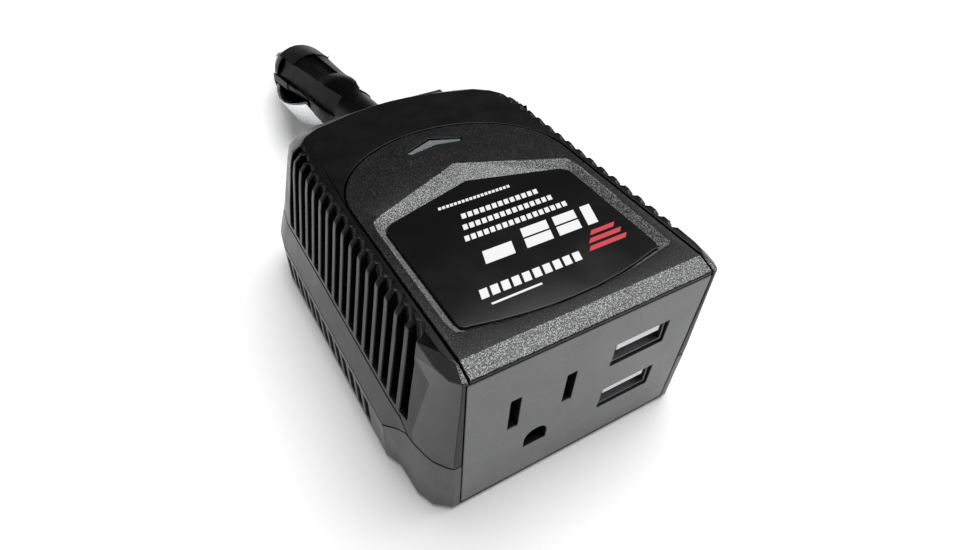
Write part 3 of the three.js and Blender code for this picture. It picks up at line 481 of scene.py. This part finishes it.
def make_fuse_spring():
    """A coiled wire for the spring's plain solid, riding rigidly on the plug; it keeps its length when the
    tip is pressed in.
    """
    press = next(joint for joint in frame["joints"] if joint["name"] == "tip_press")
    outward = -Vector(press["axis"]).normalized()
    points = [v.co for v in NODES["fuse_spring"].data.vertices]
    middle = sum(points, Vector()) / len(points)
    ends = [(p - middle).dot(outward) for p in points]
    back, front = min(ends), max(ends)
    spread = [(p - middle) - outward * end for p, end in zip(points, ends)]
    reach = max(offset.length for offset in spread) - SPRING_WIRE
    across = outward.orthogonal().normalized()
    other = outward.cross(across)
    wound = front - back - 2 * SPRING_WIRE
    last = SPRING_TURNS * SPRING_STEPS
    centres = []
    for step in range(last + 1):
        angle = 2 * math.pi * step / SPRING_STEPS
        place = back + SPRING_WIRE + wound * step / last
        radial = across * math.cos(angle) + other * math.sin(angle)
        centres.append(middle + outward * place + radial * reach)
    coil = finished(tube_along("fuse_spring_coil", centres, SPRING_WIRE), "steel_bright", "plug")
    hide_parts("fuse_spring")
    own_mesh(coil)


make_fuse_spring()

# ---------------------------------------------------------------- label print

label_front, label_rear = (corner.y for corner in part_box("label_plate"))


def label_height(y):
    """Height of the label's top surface at a place along it."""
    top = [v.co for v in NODES["label_plate"].data.vertices]
    front = max((c for c in top if c.y < label_front + MM), key=lambda c: c.z)
    rear = max((c for c in top if c.y > label_rear - MM), key=lambda c: c.z)
    along = (y - front.y) / (rear.y - front.y)
    return front.z + (rear.z - front.z) * along


def printed(name, look, bars):
    """Thin plain bars printed on the label, each given by its middle, its half sizes and its slant."""
    work = bmesh.new()
    for x, y, half_x, half_y, slant in bars:
        corners = [(-half_x - slant, -half_y), (half_x - slant, -half_y),
                   (half_x + slant, half_y), (-half_x + slant, half_y)]
        base = []
        for dx, dy in corners:
            place_y = label_front + (y + dy) * MM
            base.append(work.verts.new(((x + dx) * MM, place_y, label_height(place_y) + PRINT_LIFT)))
        face = work.faces.new(base)
        lifted = bmesh.ops.extrude_face_region(work, geom=[face])
        risen = [v for v in lifted["geom"] if isinstance(v, bmesh.types.BMVert)]
        bmesh.ops.translate(work, verts=risen, vec=(0, 0, PRINT_THICK))
    bmesh.ops.recalc_face_normals(work, faces=work.faces)
    mesh = bpy.data.meshes.new(name)
    work.to_mesh(mesh)
    work.free()
    piece = bpy.data.objects.new(name, mesh)
    bpy.context.scene.collection.objects.link(piece)
    return finished(piece, look, "housing")


def strokes(left, right, y, half_y, pitch=1.5):
    """A row of short slanted strokes between two places across the label."""
    count = round((right - left) / pitch)
    return [(left + (k + 0.5) * pitch, y, pitch * 0.36, half_y, half_y * 0.3) for k in range(count)]


WHITE_BARS = [
    # a plain underline and a row of strokes near the front
    (-9.5, 5.6, 5.5, 0.25, 0),
    *strokes(-16.0, 7.5, 8.6, 1.2, pitch=2.35),
    # bold blocks, each cut by a thin gap
    (16.6, 18.4, 1.3, 3.0, 1.0),
    *[(10.9 + dy / 3, 18.4 + dy, 2.8, 1.35, 0.45) for dy in (-1.6, 1.6)],
    *[(3.4 + dy / 3, 18.4 + dy, 3.2, 1.35, 0.45) for dy in (-1.6, 1.6)],
    (-6.4, 17.2, 3.4, 1.8, 0.6),
    # three lines of small strokes and a fine one
    *strokes(-10.5, 15.0, 24.0, 0.8),
    *strokes(-9.0, 14.0, 27.4, 0.8),
    *strokes(-7.5, 12.0, 30.8, 0.8),
    *strokes(-10.5, 8.0, 35.4, 0.45, pitch=0.95),
]
RED_BARS = [
    (14.6, 9.2, 4.6, 0.6, 0.6),
    (15.4, 11.2, 4.0, 0.6, 0.6),
    (16.2, 13.2, 3.0, 0.6, 0.6),
]
printed("label_print_white", "print_white", WHITE_BARS)
printed("label_print_red", "print_red", RED_BARS)

# ---------------------------------------------------------------- floor, lights and camera


def make_floor():
    """A plain white floor that glows faintly, so that the shadows stay soft."""
    mesh = bpy.data.meshes.new("floor")
    half = FLOOR_SIZE / 2
    corners = [(-half, -half, 0), (half, -half, 0), (half, half, 0), (-half, half, 0)]
    mesh.from_pydata(corners, [], [(0, 1, 2, 3)])
    floor = bpy.data.objects.new("floor", mesh)
    bpy.context.scene.collection.objects.link(floor)
    white = new_material("floor_white", (0.92, 0.92, 0.92), 0.9, Emission_Strength=FLOOR_GLOW)
    white.node_tree.nodes["Principled BSDF"].inputs["Emission Color"].default_value = (1, 1, 1, 1)
    mesh.materials.append(white)


def overhead_light():
    """One large soft source above the object, a little to its right and rear."""
    data = bpy.data.lights.new("overhead", "SUN")
    data.energy = OVERHEAD_STRENGTH
    data.angle = math.radians(OVERHEAD_WIDTH)
    light = bpy.data.objects.new("overhead", data)
    light.rotation_euler = Vector(OVERHEAD_FROM).to_track_quat("Z", "Y").to_euler()
    bpy.context.scene.collection.objects.link(light)


def make_world():
    """A dim even light, behind a backdrop that the camera sees as white."""
    world = bpy.data.worlds.new("studio")
    world.use_nodes = True
    background = world.node_tree.nodes["Background"]
    background.inputs["Color"].default_value = (1, 1, 1, 1)
    seen = world.node_tree.nodes.new("ShaderNodeLightPath").outputs["Is Camera Ray"]
    strength = world.node_tree.nodes.new("ShaderNodeMath")
    strength.operation = "MAXIMUM"
    strength.inputs[1].default_value = WORLD_STRENGTH
    world.node_tree.links.new(seen, strength.inputs[0])
    world.node_tree.links.new(strength.outputs["Value"], background.inputs["Strength"])
    bpy.context.scene.world = world


def make_camera():
    """A close wide view from above the outlet face's left, rolled a little."""
    sin_el, cos_el = math.sin(CAMERA_ELEVATION), math.cos(CAMERA_ELEVATION)
    sin_az, cos_az = math.sin(CAMERA_AZIMUTH), math.cos(CAMERA_AZIMUTH)
    back = Vector((sin_az * cos_el, -cos_az * cos_el, sin_el))
    level = (-back).cross(Vector((0, 0, 1))).normalized()
    upright = level.cross(-back)
    sin_roll, cos_roll = math.sin(CAMERA_ROLL), math.cos(CAMERA_ROLL)
    right = level * cos_roll + upright * sin_roll
    up = upright * cos_roll - level * sin_roll
    data = bpy.data.cameras.new("camera")
    data.sensor_width = 36
    data.lens = CAMERA_LENS
    data.clip_start = 0.005
    camera = bpy.data.objects.new("camera", data)
    turn = Matrix((right, up, back)).transposed().to_4x4()
    camera.matrix_world = Matrix.Translation(CAMERA_PLACE) @ turn
    bpy.context.scene.collection.objects.link(camera)
    bpy.context.scene.camera = camera


make_floor()
make_world()
overhead_light()
make_camera()
bpy.context.scene.view_settings.view_transform = "Standard"
